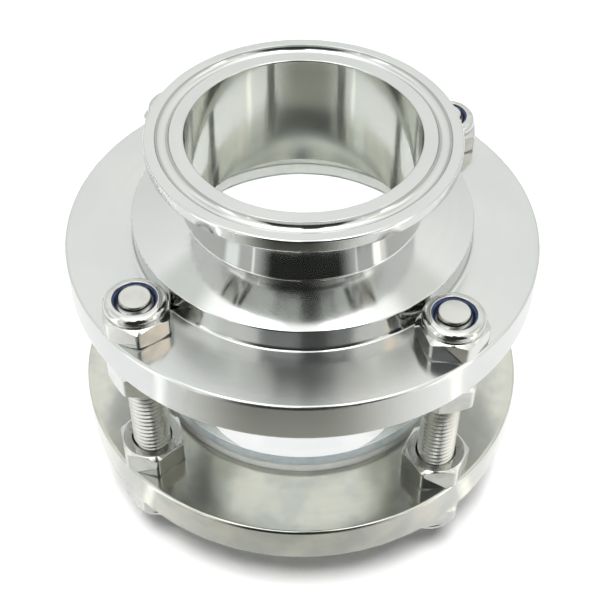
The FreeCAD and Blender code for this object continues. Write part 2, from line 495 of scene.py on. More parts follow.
@dataclass(frozen=True)
class TurnedSteel:
    """Stainless steel turned on a lathe and polished, for the two ends. Its bore zone has a colour of its
    own, which is painted shade in the upper end's bore and painted light in the lower end's bore and flare.
    """

    name: str = "polished_turned_steel"
    light: Colour = (0.65, 0.655, 0.64)
    dark: Colour = (0.61, 0.615, 0.60)
    cloud: Colour = (0.60, 0.61, 0.60)
    # bore zone colour: painted shade in the upper end, painted light in the lower end
    bore: Colour = (0.58, 0.59, 0.545)
    bore_radius: float = 24.1
    blotches_per_mm: float = 0.05
    specks_per_mm: float = 0.8
    rings_per_mm: float = 5.0
    streak_length: float = 1.2
    smooth: float = 0.07
    rough: float = 0.11
    flange_rough: float = 0.18
    mark_strength: float = 0.04
    mark_depth_mm: float = 0.01
    brushing: float = 0.9

    def make(self, effects: Effects) -> Material:
        """Builds the material.

        Args:
            effects: the shared effects.

        Returns:
            The new material.
        """
        kit = MaterialKit(self.name, metallic=1.0)
        marks = kit.group(effects.turning, Rings_per_mm=self.rings_per_mm, Streak_Length=self.streak_length)
        haze = kit.group(
            effects.haze, Blotches_per_mm=self.blotches_per_mm, Specks_per_mm=self.specks_per_mm
        )["Haze"]
        zones = kit.group(effects.zones, Bore_Radius_mm=self.bore_radius)
        clouds = kit.blend(haze, kit.blend(marks["Tone"], self.dark, self.light), self.cloud)
        polish = kit.ranged(haze, self.smooth, self.rough)
        # the bore zone takes the painted bore colour: painted shade in the upper end, painted light in the
        # lower end
        kit.set(
            Base_Color=kit.blend(zones["Bore"], clouds, self.bore),
            Roughness=kit.ranged(zones["Flange"], polish, self.flange_rough),
        )
        kit.bump(marks["Height"], self.mark_strength, self.mark_depth_mm)
        kit.brush_round(self.brushing)
        return kit.material


@dataclass(frozen=True)
class HazyFinish:
    """A finish whose colour, gloss and relief follow the haze that handling leaves."""

    name: str
    light: Colour
    dark: Colour
    smooth: float
    rough: float
    blotches_per_mm: float
    specks_per_mm: float
    relief_strength: float
    relief_depth_mm: float
    relief_source: str = "Haze"
    metallic: float = 0.0
    refraction: float = 1.5

    def make(self, effects: Effects) -> Material:
        """Builds the material.

        Args:
            effects: the shared effects.

        Returns:
            The new material.
        """
        kit = MaterialKit(self.name, self.metallic, self.refraction)
        marks = kit.group(
            effects.haze, Blotches_per_mm=self.blotches_per_mm, Specks_per_mm=self.specks_per_mm
        )
        haze = marks["Haze"]
        kit.set(Base_Color=self.colour(kit, haze), Roughness=kit.ranged(haze, self.smooth, self.rough))
        kit.bump(self.relief(kit, marks), self.relief_strength, self.relief_depth_mm)
        return kit.material

    def colour(self, kit: MaterialKit, haze: NodeSocket) -> NodeSocket:
        """Colour of the surface."""
        return kit.blend(haze, self.light, self.dark)

    def relief(self, kit: MaterialKit, marks: Sequence[NodeSocket]) -> NodeSocket:
        """Height of the surface."""
        return marks[self.relief_source]


@dataclass(frozen=True)
class NutSteel(HazyFinish):
    """Bright cold-formed stainless steel, for the nuts."""

    name: str = "bright_nut_steel"
    light: Colour = (0.62, 0.62, 0.60)
    dark: Colour = (0.52, 0.52, 0.495)
    smooth: float = 0.06
    rough: float = 0.13
    blotches_per_mm: float = 0.25
    specks_per_mm: float = 1.4
    relief_strength: float = 0.05
    relief_depth_mm: float = 0.02
    metallic: float = 1.0
    grain_per_mm: float = 2.6

    def relief(self, kit: MaterialKit, marks: Sequence[NodeSocket]) -> NodeSocket:
        """Height of the fine grain of the formed surface."""
        return kit.noise(kit.place(), self.grain_per_mm / MM, detail=3.0)


@dataclass(frozen=True)
class ThreadSteel(HazyFinish):
    """Rolled thread: dull flanks with a little grime and painted shade in the roots. Sizes in millimetres."""

    name: str = "rolled_thread_steel"
    light: Colour = (0.62, 0.62, 0.585)
    dark: Colour = (0.54, 0.54, 0.505)
    smooth: float = 0.24
    rough: float = 0.30
    blotches_per_mm: float = 0.2
    specks_per_mm: float = 2.0
    relief_strength: float = 0.05
    relief_depth_mm: float = 0.02
    metallic: float = 1.0
    # dark colour of the thread's roots: partly grime, partly painted shade
    root_grime_and_shade: Colour = (0.20, 0.20, 0.18)
    rod_offset: float = 30.834
    root_radius: float = 3.28
    root_grime_and_shade_reach: float = 0.45

    def colour(self, kit: MaterialKit, haze: NodeSocket) -> NodeSocket:
        """Colour of the steel, darkened by grime and painted shade where the surface is near the thread's
        root.

        Args:
            kit: the material's kit.
            haze: mask of the haze.

        Returns:
            The colour.
        """
        x, y, _ = kit.axes(kit.place())
        spoke = [kit.math("SUBTRACT", kit.math("ABSOLUTE", way), self.rod_offset * MM) for way in (x, y)]
        gap = kit.math("ABSOLUTE", kit.math("SUBTRACT", kit.length(*spoke), self.root_radius * MM))
        # mask: 0 at the root, where grime and painted shade darken the steel, and 1 clear of it
        clean = kit.ranged(gap, end=self.root_grime_and_shade_reach * MM)
        return kit.blend(clean, self.root_grime_and_shade, kit.blend(haze, self.light, self.dark))


@dataclass(frozen=True)
class ClearGlass:
    """Clear tube glass."""

    tint: Colour = (0.975, 0.992, 0.988)
    refraction: float = 1.47
    rough: float = 0.03
    blotches_per_mm: float = 0.04
    specks_per_mm: float = 0.5

    def make(self, effects: Effects) -> Material:
        """Builds the material.

        Args:
            effects: the shared effects.

        Returns:
            The new material.
        """
        kit = MaterialKit("clear_tube_glass", metallic=0.0, refraction=self.refraction)
        haze = kit.group(
            effects.haze, Blotches_per_mm=self.blotches_per_mm, Specks_per_mm=self.specks_per_mm
        )["Haze"]
        kit.set(Transmission_Weight=1.0, Base_Color=(*self.tint, 1.0))
        kit.set(Roughness=kit.ranged(haze, 0.0, self.rough))
        kit.let_light_through(self.tint)
        return kit.material


@dataclass(frozen=True)
class GroundGlass(HazyFinish):
    """Ground ends of the glass tube, wetted by the gasket that they press on."""

    name: str = "ground_glass_end"
    light: Colour = (0.66, 0.71, 0.72)
    dark: Colour = (0.58, 0.63, 0.65)
    smooth: float = 0.55
    rough: float = 0.75
    blotches_per_mm: float = 0.5
    specks_per_mm: float = 3.0
    relief_strength: float = 0.2
    relief_depth_mm: float = 0.02
    relief_source: str = "Specks"
    refraction: float = 1.47


@dataclass(frozen=True)
class PaleGasket(HazyFinish):
    """Pale translucent silicone."""

    name: str = "pale_silicone"
    light: Colour = (0.90, 0.91, 0.87)
    dark: Colour = (0.84, 0.86, 0.82)
    smooth: float = 0.38
    rough: float = 0.55
    blotches_per_mm: float = 0.3
    specks_per_mm: float = 1.0
    relief_strength: float = 0.1
    relief_depth_mm: float = 0.05
    refraction: float = 1.41


@dataclass(frozen=True)
class BlueNylon(HazyFinish):
    """Dark blue nylon of the lock rings."""

    name: str = "dark_blue_nylon"
    light: Colour = (0.020, 0.040, 0.120)
    dark: Colour = (0.006, 0.012, 0.040)
    smooth: float = 0.30
    rough: float = 0.50
    blotches_per_mm: float = 0.8
    specks_per_mm: float = 2.0
    relief_strength: float = 0.2
    relief_depth_mm: float = 0.05
    relief_source: str = "Specks"


@dataclass(frozen=True)
class Finishes:
    """Every material of the object."""

    turned: Material
    dull_turned: Material
    nut: Material
    thread: Material
    glass: Material
    ground: Material
    gasket: Material
    nylon: Material

    @classmethod
    def make(cls) -> "Finishes":
        """Builds each finish once.

        Returns:
            All of them.
        """
        effects = Effects.make()
        return cls(
            turned=TurnedSteel().make(effects),
            # lower end: a rougher satin copy with blotchier haze; its darker, yellower tones are painted
            # shade from the upper flange above it, and its pale bore and flare colour is painted light
            dull_turned=TurnedSteel(
                name="satin_turned_steel_painted_light_and_shade",
                light=(0.625, 0.615, 0.55),
                dark=(0.53, 0.53, 0.475),
                cloud=(0.46, 0.475, 0.445),
                bore=(0.80, 0.82, 0.80),
                bore_radius=30.5,
                blotches_per_mm=0.13,
                smooth=0.16,
                rough=0.22,
                flange_rough=0.15,
                mark_strength=0.08,
                brushing=0.6,
            ).make(effects),
            nut=NutSteel().make(effects),
            thread=ThreadSteel().make(effects),
            glass=ClearGlass().make(effects),
            ground=GroundGlass().make(effects),
            gasket=PaleGasket().make(effects),
            nylon=BlueNylon().make(effects),
        )


@dataclass
class ClampEnd:
    """Ferrule, neck, cone, boss and flange in one turned piece. Sizes in millimetres."""

    end: End
    neck_radius: float = 25.4
    bore_radius: float = 23.9
    neck_fillet: float = 1.5
    neck_weld: float = 0.35
    ferrule_overhang: float = 6.6
    rim_height: float = 2.8
    back_angle: float = 20.0
    edge_radius: float = 0.5
    mouth_radius: float = 0.3
    groove_radius: float = 28.25
    groove_width: float = 2.9
    groove_depth: float = 1.3
    groove_edge: float = 0.12
    flange_thickness: float = 9.5
    flange_edge: float = 0.7
    boss_overhang: float = 1.8
    boss_height: float = 5.2
    boss_edge: float = 0.35
    boss_fillet: float = 0.7
    cone_height: float = 3.3
    flare_depth: float = 7.5
    flare_edge: float = 0.4
    sight_radius: float = 30.2
    glass_radius: float = 34.2
    seat_depth: float = 1.0
    seat_margin: float = 0.2
    seat_edge: float = 0.1
    hole_radius: float = 4.5
    facets: int = 288

    def corners(self, height: float, flange_radius: float) -> list[Corner]:
        """Section of the end, with its inner face at height 0.

        Args:
            height: from the inner face to the clamp face.
            flange_radius: outer radius of the flange.

        Returns:
            Corners in order round the section.
        """
        boss_radius = self.glass_radius + self.boss_overhang
        ferrule_radius = self.neck_radius + self.ferrule_overhang
        boss_top = self.flange_thickness + self.boss_height
        rim_bottom = height - self.rim_height
        back = rim_bottom - self.ferrule_overhang * math.tan(math.radians(self.back_angle))
        seat_radius = self.glass_radius + self.seat_margin
        return [
            (self.bore_radius, self.flare_depth, self.flare_edge),
            (self.bore_radius, height, self.mouth_radius),
            *self.groove(height),
            (ferrule_radius, height, self.edge_radius),
            (ferrule_radius, rim_bottom, self.edge_radius),
            (self.neck_radius, back, self.neck_fillet),
            (self.neck_radius, boss_top + self.cone_height, self.neck_weld),
            (boss_radius, boss_top, self.boss_edge),
            (boss_radius, self.flange_thickness, self.boss_fillet),
            (flange_radius, self.flange_thickness, self.flange_edge),
            (flange_radius, 0, self.flange_edge),
            (seat_radius, 0, self.seat_edge),
            (seat_radius, self.seat_depth, 0),
            (self.sight_radius, self.seat_depth, self.seat_edge),
        ]

    def groove(self, height: float, chords: int = 14) -> list[Corner]:
        """Round groove in the clamp face.

        Args:
            height: of the clamp face.
            chords: straight parts that the groove is made of.

        Returns:
            Its corners in the section.
        """
        half = self.groove_width / 2
        radius = (half**2 + self.groove_depth**2) / (2 * self.groove_depth)
        centre = height - self.groove_depth + radius
        reach = math.asin(half / radius)
        if radius < self.groove_depth:
            reach = math.pi - reach
        made = []
        for i in range(chords + 1):
            turn = reach * (2 * i / chords - 1)
            edge = self.groove_edge if i in (0, chords) else 0.0
            spot = (self.groove_radius + radius * math.sin(turn), centre - radius * math.cos(turn))
            made.append((*spot, edge))
        return made

    def build(self, finishes: Finishes, stud_centres: Sequence[Vector]) -> Object:
        """Makes the end and drills it for the tie rods.

        Args:
            finishes: the object's materials.
            stud_centres: centres of the tie rods in metres.

        Returns:
            The finished piece.
        """
        upper = self.end is End.UPPER
        node = "top_flange" if upper else "bottom_flange"
        low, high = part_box(node)
        height = (high.z - low.z) / MM
        section = rounded_profile(self.corners(height, (high.x - low.x) / 2 / MM))
        vertices, faces = ring_grid([section] * self.facets, full_turn(self.facets))
        if upper:
            vertices = [v + Vector((0, 0, low.z)) for v in vertices]
            faces = [tuple(reversed(f)) for f in faces]
        else:
            vertices = [Vector((v.x, v.y, high.z - v.z)) for v in vertices]
        finish = finishes.turned if upper else finishes.dull_turned
        piece = Piece(f"{self.end.value}_clamp_end", node, "flange_steel").place(vertices, faces, finish)
        self.drill(piece, stud_centres, (low.z + high.z) / 2)
        even_normals(piece)
        return piece

    def drill(self, piece: Object, centres: Sequence[Vector], height: float) -> None:
        """Cuts the tie rod holes through the flange.

        Args:
            piece: the end to drill.
            centres: centres of the holes in metres.
            height: where the drill's middle is, in metres.
        """
        made: list[Vector] = []
        faces: Faces = []
        chords = 48
        reach = 0.05
        for centre in centres:
            start = len(made)
            for level in (height - reach, height + reach):
                for turn in full_turn(chords):
                    spoke = Vector((math.cos(turn), math.sin(turn), 0)) * self.hole_radius * MM
                    made.append(Vector((centre.x, centre.y, level)) + spoke)
            for i in range(chords):
                ahead = (i + 1) % chords
                faces.append((start + i, start + ahead, start + chords + ahead, start + chords + i))
            faces.append(tuple(start + i for i in reversed(range(chords))))
            faces.append(tuple(start + chords + i for i in range(chords)))
        drill = mesh_object("drill", made, faces)
        cut = piece.modifiers.new("holes", "BOOLEAN")
        cut.operation = "DIFFERENCE"
        cut.solver = "EXACT"
        cut.object = drill
        with bpy.context.temp_override(object=piece, active_object=piece):
            bpy.ops.object.modifier_apply(modifier=cut.name)
        bpy.data.objects.remove(drill)


@dataclass
class SightTube:
    """Glass tube and its gaskets. Sizes in millimetres."""

    glass_radius: float = 34.2
    sight_radius: float = 30.2
    glass_edge: float = 0.4
    gasket_radius: float = 34.3
    gasket_edge: float = 0.3
    end_gap: float = 0.02
    facets: int = 240

    def ring(self, inner: float, outer: float, low: float, high: float, edge: float) -> list[Point]:
        """Section of a ring with rounded edges."""
        corners = [(inner, low, edge), (outer, low, edge), (outer, high, edge), (inner, high, edge)]
        return rounded_profile(corners, steps=4)

    def build(self, finishes: Finishes) -> None:
        """Makes the tube and both gaskets.

        Args:
            finishes: the object's materials.
        """
        glass = (self.glass_radius, self.glass_edge, finishes.glass)
        gasket = (self.gasket_radius, self.gasket_edge, finishes.gasket)
        parts = (
            (Piece("sight_tube", "glass_tube", "clear_glass"), *glass),
            (Piece("upper_seal", "top_gasket", "gasket"), *gasket),
            (Piece("lower_seal", "bottom_gasket", "gasket"), *gasket),
        )
        for piece, outer, edge, material in parts:
            low, high = (spot.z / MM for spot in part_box(piece.node))
            gap = self.end_gap if material is finishes.glass else 0.0
            section = self.ring(self.sight_radius, outer, low + gap, high - gap, edge)
            vertices, faces = ring_grid([section] * self.facets, full_turn(self.facets))
            made = piece.place(vertices, faces, material)
            if material is finishes.glass:
                self.grind_ends(made, finishes.ground)
            even_normals(made)

    def grind_ends(self, tube: Object, ground: Material) -> None:
        """Gives the flat ends of the tube their ground finish.

        Args:
            tube: the glass tube.
            ground: the ground finish.
        """
        least_rise = 0.5
        tube.data.materials.append(ground)
        for face in tube.data.polygons:
            if abs(face.normal.z) > least_rise:
                face.material_index = 1


@dataclass
class TieRod:
    """Threaded rod with its nuts and nylon rings. Sizes in millimetres."""

    number: int
    rod_radius: float = 4.0
    pitch: float = 1.25
    thread_depth: float = 0.72
    end_chamfer: float = 0.9
    end_taper: float = 1.5
    thread_rows: tuple[Point, ...] = ((-0.07, 1.0), (0.07, 1.0), (0.4375, 0.0), (0.5625, 0.0))
    thread_spare_turns: int = 3
    thread_sharp_angle: float = 32.0
    facets: int = 48
    nut_wall: float = 2.5
    corner_rounding: float = 1.1
    face_step: float = 0.3
    chamfer_angle: float = 30.0
    mouth_chamfer: float = 0.4
    bore_clearance: float = 0.05
    lock_hex_height: float = 4.7
    collar_step: float = 0.2
    collar_neck_step: float = 0.3
    collar_neck_height: float = 0.35
    collar_roll: float = 1.2
    crown_drop: float = 0.25
    lip_gap: float = 0.45
    lip_thickness: float = 0.45
    lip_edge: float = 0.15
    nylon_width: float = 1.05
    nylon_clearance: float = 0.05
    nylon_edge: float = 0.1
    nylon_rim: float = 0.15
    nylon_lip: float = 0.25
    nylon_facets: int = 72
    edge: float = 0.07

    def centre(self) -> Vector:
        """Centre line of the rod in the frame, in metres, at its lower end."""
        low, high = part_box(f"stud_{self.number}")
        return Vector(((low.x + high.x) / 2, (low.y + high.y) / 2, low.z))

    def thread_point(self, row: int) -> Point:
        """Where one row of the thread's points lies.

        Args:
            row: the row, counted up the helix. Each turn has one row for each pair in thread_rows,
                which gives its share of the pitch and of the thread's depth.

        Returns:
            Its height above the start of the thread and its radius.
        """
        turns, step = divmod(row, len(self.thread_rows))
        share, depth = self.thread_rows[step]
        return (turns + share) * self.pitch, self.rod_radius - depth * self.thread_depth

    def build_rod(self, finishes: Finishes) -> None:
        """Makes the rod with its real thread, whose rows of points climb with the helix.

        Args:
            finishes: the object's materials.
        """
        low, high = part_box(f"stud_{self.number}")
        length = (high.z - low.z) / MM
        rows_per_turn = len(self.thread_rows)
        rows = rows_per_turn * (math.ceil(length / self.pitch) + self.thread_spare_turns)
        vertices: list[Vector] = []
        for i, turn in enumerate(full_turn(self.facets)):
            climb = (i / self.facets - self.thread_spare_turns / 2) * self.pitch
            for row in range(rows + 1):
                height, radius = self.thread_point(row)
                z = min(length, max(0.0, height + climb))
                taper = self.rod_radius - self.end_chamfer * (1 - min(z, length - z) / self.end_taper)
                radius = min(radius, taper)
                vertices.append(Vector((radius * math.cos(turn), radius * math.sin(turn), z)) * MM)
        faces: Faces = []
        for i in range(self.facets):
            here = i * (rows + 1)
            last = i + 1 == self.facets
            ahead = rows_per_turn if last else here + rows + 1
            for row in range(rows - rows_per_turn if last else rows):
                faces.append((here + row, ahead + row, ahead + row + 1, here + row + 1))
        columns = [i * (rows + 1) for i in range(self.facets)]
        faces.append(tuple(reversed(columns)))
        faces.append(tuple(column + rows for column in columns))
        centre = self.centre()
        piece = Piece(f"threaded_rod_{self.number}", f"stud_{self.number}", "stud_steel").place(
            [v + centre for v in vertices], faces, finishes.thread
        )
        weld(piece, self.thread_sharp_angle)

    def outline(self, flat_parts: int = 8, chord_limit: float = 1.0) -> list[Point]:
        """Outline of a nut from above, a hexagon with rounded corners.

        Args:
            flat_parts: parts that each flat is split into.
            chord_limit: a side longer than this is a flat.

        Returns:
            Angle and radius of each point.
        """
        corner = (self.rod_radius + self.nut_wall) / math.cos(math.pi / HEX_SIDES)
        turns = full_turn(HEX_SIDES)
        hexagon = [(corner * math.cos(turn), corner * math.sin(turn), self.corner_rounding) for turn in turns]
        rounded = rounded_profile(hexagon)
        dense: list[Point] = []
        for (x, y), (next_x, next_y) in zip(rounded, rounded[1:] + rounded[:1]):
            parts = flat_parts if math.dist((x, y), (next_x, next_y)) > chord_limit else 1
            for k in range(parts):
                share = k / parts
                dense.append((x + (next_x - x) * share, y + (next_y - y) * share))
        return [(math.atan2(y, x), math.hypot(x, y)) for x, y in dense]

    def nut_section(self, kind: NutKind, hexagon: float, height: float) -> list[Point]:
        """Section of a nut through one point of its hexagon.

        Args:
            kind: plain or lock nut.
            hexagon: radius of the hexagon there.
            height: of the whole nut.

        Returns:
            Points of the section, the nut standing on height 0.
        """
        bore = self.rod_radius + self.bore_clearance
        face = self.rod_radius + self.nut_wall - self.face_step
        drop = (hexagon - face) * math.tan(math.radians(self.chamfer_angle))
        top = height if kind is NutKind.PLAIN else self.lock_hex_height
        mouth = self.mouth_chamfer
        corners = [
            (bore, mouth, 0),
            (bore + mouth, 0, self.edge),
            (face, 0, self.edge),
            (hexagon, drop, self.edge),
            (hexagon, top - drop, self.edge),
            (face, top, self.edge),
        ]
        if kind is NutKind.PLAIN:
            corners += [(bore + mouth, top, self.edge), (bore, top - mouth, 0)]
            return rounded_profile(corners, steps=3)
        shoulder = self.rod_radius + self.nut_wall - self.collar_step
        neck = shoulder - self.collar_neck_step
        pocket = self.rod_radius + self.nylon_width + self.nylon_clearance
        lip = self.rod_radius + self.lip_gap
        lip_bottom = height - self.lip_thickness
        corners += [
            (neck, top, self.edge),
            (neck, top + self.collar_neck_height, self.edge),
            (shoulder, top + self.collar_neck_height + self.collar_neck_step, self.edge),
            (shoulder, height - self.crown_drop, self.collar_roll),
            (lip, height, self.lip_edge),
            (lip, lip_bottom, 0),
            (pocket, lip_bottom, 0),
            (pocket, top, 0),
            (bore, top, 0),
        ]
        return rounded_profile(corners, steps=5)

    def build_nut(self, kind: NutKind, node: str, hangs: bool, finishes: Finishes) -> None:
        """Makes one nut where its node lies.

        Args:
            kind: plain or lock nut.
            node: the CAD node it stands for.
            hangs: whether the nut is upside down.
            finishes: the object's materials.
        """
        low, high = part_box(node)
        height = (high.z - low.z) / MM
        outline = self.outline()
        turn = math.radians(nut_turn(node))
        angles = [a + turn for a, _ in outline]
        sections = [self.nut_section(kind, r, height) for _, r in outline]
        vertices, faces = ring_grid(sections, angles)
        centre = self.centre()
        if hangs:
            base = high.z
            vertices = [Vector((v.x, v.y, -v.z)) for v in vertices]
        else:
            base = low.z
            faces = [tuple(reversed(f)) for f in faces]
        moved = [v + Vector((centre.x, centre.y, base)) for v in vertices]
        piece = Piece(node.replace("nut", "spanner_nut"), node, "nut_steel").place(moved, faces, finishes.nut)
        even_normals(piece)

    def build_ring(self, node: str, finishes: Finishes) -> None:
        """Makes one nylon ring, with its top turned up a little where the thread cut in.

        Args:
            node: the CAD node it stands for.
            finishes: the object's materials.
        """
        low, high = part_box(node)
        inner = self.rod_radius + self.bore_clearance
        outer = self.rod_radius + self.nylon_width
        bottom, top = low.z / MM, high.z / MM
        corners = [
            (inner, bottom, self.nylon_edge),
            (outer, bottom, self.nylon_edge),
            (outer, top, self.nylon_rim),
            (inner, top, self.nylon_lip),
        ]
        section = rounded_profile(corners, steps=4)
        vertices, faces = ring_grid([section] * self.nylon_facets, full_turn(self.nylon_facets))
        centre = self.centre()
        moved = [v + Vector((centre.x, centre.y, 0)) for v in vertices]
        Piece(node.replace("nylon_ring", "lock_ring"), node, "nylon").place(moved, faces, finishes.nylon)

    def build(self, finishes: Finishes) -> None:
        """Makes the rod and everything on it.

        Args:
            finishes: the object's materials.
        """
        self.build_rod(finishes)
        for name, kind, hangs in (
            (f"upper_lock_nut_{self.number}", NutKind.LOCK, False),
            (f"upper_hex_nut_{self.number}", NutKind.PLAIN, True),
            (f"lower_hex_nut_{self.number}", NutKind.PLAIN, False),
            (f"lower_lock_nut_{self.number}", NutKind.LOCK, True),
        ):
            self.build_nut(kind, name, hangs, finishes)
        for name in (f"upper_nylon_ring_{self.number}", f"lower_nylon_ring_{self.number}"):
            self.build_ring(name, finishes)


def weld(piece: Object, sharp_angle: float, distance_mm: float = 0.0005) -> None:
    """Joins points that lie on each other and drops the faces that vanish.

    Args:
        piece: the piece to clean up.
        sharp_angle: edges that bend by more degrees than this are sharp afterwards.
        distance_mm: points nearer than this are joined.
    """
    work = bmesh.new()
    work.from_mesh(piece.data)
    bmesh.ops.remove_doubles(work, verts=work.verts, dist=distance_mm * MM)
    bmesh.ops.dissolve_degenerate(work, edges=work.edges, dist=distance_mm * MM)
    bmesh.ops.recalc_face_normals(work, faces=work.faces)
    work.to_mesh(piece.data)
    work.free()
    piece.data.set_sharp_from_angle(angle=math.radians(sharp_angle))


def nut_turn(node: str, slack_mm: float = 0.02) -> float:
    """Reads from a nut's CAD node which way its corners point.

    Args:
        node: the nut's node.
        slack_mm: points less than this nearer the middle than the farthest one count as corners.

    Returns:
        The angle of a corner in degrees.
    """
    low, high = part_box(node)
    centre = (low + high) / 2
    spokes = [(v.co.x - centre.x, v.co.y - centre.y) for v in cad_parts[node].data.vertices]
    reach = max(math.hypot(x, y) for x, y in spokes) - slack_mm * MM
    corners = [HEX_SIDES * math.atan2(y, x) for x, y in spokes if math.hypot(x, y) > reach]
    across = sum(math.cos(turn) for turn in corners)
    up = sum(math.sin(turn) for turn in corners)
    return math.degrees(math.atan2(up, across)) / HEX_SIDES


def stage_material(name: str, wire: Callable[[NodeKit], Node]) -> Material:
    """Makes a material of the studio.

    Args:
        name: the material's name.
        wire: adds the shader's nodes and gives the last one.

    Returns:
        The new material.
    """
    material = bpy.data.materials.new(name)
    material.use_nodes = True
    kit = NodeKit(material.node_tree)
    kit.tree.nodes.remove(kit.tree.nodes["Principled BSDF"])
    kit.feed(kit.tree.nodes["Material Output"].inputs["Surface"], wire(kit).outputs[0])
    return material


@dataclass(frozen=True)
class Card:
    """A soft-edged card or lamp panel that the camera doesn't see, for shiny or for dull surfaces.

    Turns are in degrees as seen from the object, 0 in front and positive to the right. A hung card
    reaches between two heights in degrees and a laid one between two distances in metres.
    """

    name: str
    turns: tuple[float, float]
    reach: tuple[float, float]
    colour: Colour
    side_fade: float
    end_fade: float
    level: float
    lights: Surface = Surface.SHINY

    def hang(self) -> None:
        """Hangs the card on a ball round the object whose radius is its level."""
        self.show(lambda turn, rise: self.on_ball(turn, math.radians(rise)))

    def lay(self) -> None:
        """Lays the card just over the floor, at its level."""
        self.show(lambda turn, away: Vector((away * math.sin(turn), -away * math.cos(turn), self.level)))

    def on_ball(self, turn: float, rise: float) -> Vector:
        """A place on the ball, from its turn and its height as angles."""
        flat = self.level * math.cos(rise)
        return Vector((flat * math.sin(turn), -flat * math.cos(turn), self.level * math.sin(rise)))

    def show(self, place: Callable[[float, float], Vector], columns: int = 24, rows: int = 12) -> None:
        """Makes the card's mesh and its shader.

        Args:
            place: gives the place for a turn in radians and a reach.
            columns: faces across.
            rows: faces up.
        """
        left, right = (math.radians(turn) for turn in self.turns)
        low, high = self.reach
        spots = [(i / columns, j / rows) for j in range(rows + 1) for i in range(columns + 1)]
        vertices = [place(left + (right - left) * u, low + (high - low) * v) for u, v in spots]
        faces = [
            (k, k + 1, k + columns + 2, k + columns + 1)
            for j in range(rows)
            for k in range(j * (columns + 1), j * (columns + 1) + columns)
        ]
        card = mesh_object(self.name, vertices, faces, stage_material(self.name, self.glow))
        spread = card.data.uv_layers.new(name="spread")
        for loop in card.data.loops:
            spread.data[loop.index].uv = spots[loop.vertex_index]
        card.visible_camera = False
        card.visible_shadow = False
        card.visible_diffuse = self.lights is Surface.DULL
        card.visible_glossy = card.visible_transmission = self.lights is Surface.SHINY

    def glow(self, kit: NodeKit) -> Node:
        """Wires an even glow that fades out at the card's edges.

        Args:
            kit: takes the nodes.

        Returns:
            The shader.
        """
        middle = 0.5
        across, up, _ = kit.axes(kit.node("ShaderNodeUVMap", uv_map="spread").outputs[0])
        masks = []
        ways = ((across, self.side_fade, self.turns), (up, self.end_fade, self.reach))
        for spot, fade, (start, end) in ways:
            inwards = kit.math("PINGPONG", spot, middle)
            masks.append(kit.ranged(inwards, end=min(fade / (end - start), middle), easing="SMOOTHSTEP"))
        clear = kit.node("ShaderNodeBsdfTransparent").outputs[0]
        glow = kit.node("ShaderNodeEmission", {"Color": (*self.colour, 1.0)}).outputs[0]
        return kit.node("ShaderNodeMixShader", {"Fac": kit.math("MULTIPLY", *masks), 1: clear, 2: glow})


